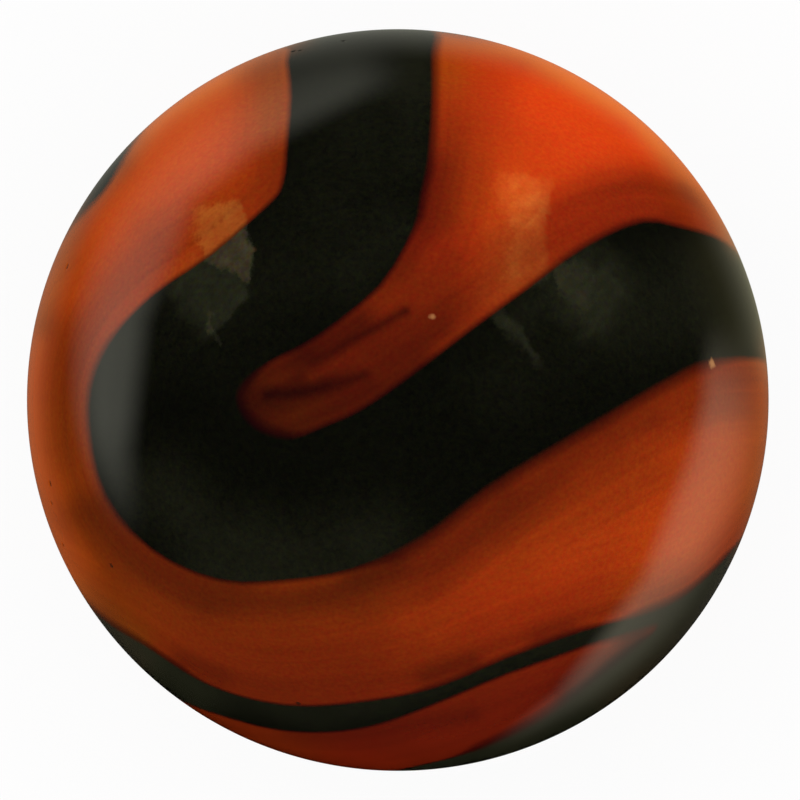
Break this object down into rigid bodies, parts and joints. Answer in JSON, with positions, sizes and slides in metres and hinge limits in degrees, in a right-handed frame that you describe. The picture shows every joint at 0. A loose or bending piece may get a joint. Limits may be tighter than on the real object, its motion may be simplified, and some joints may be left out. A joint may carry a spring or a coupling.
{
  "type": "glass marble",
  "caption": "Solid round glass marble: translucent orange glass with a folded swirl of opaque black glass running round it.",
  "frame": {"origin": "centre of the ball", "axes": "+Z out of the face that shows the whole hook of the swirl, +X to the right of that face and +Y to its top"},
  "size_m": [0.016, 0.016, 0.016],
  "materials": {
    "orange_glass": "polished, translucent, streaked with darker brown",
    "black_glass": "polished, opaque"
  },
  "bodies": {
    "root": {"orange_glass": "orange_glass", "black_swirl": "black_glass"}
  },
  "joints": []
}
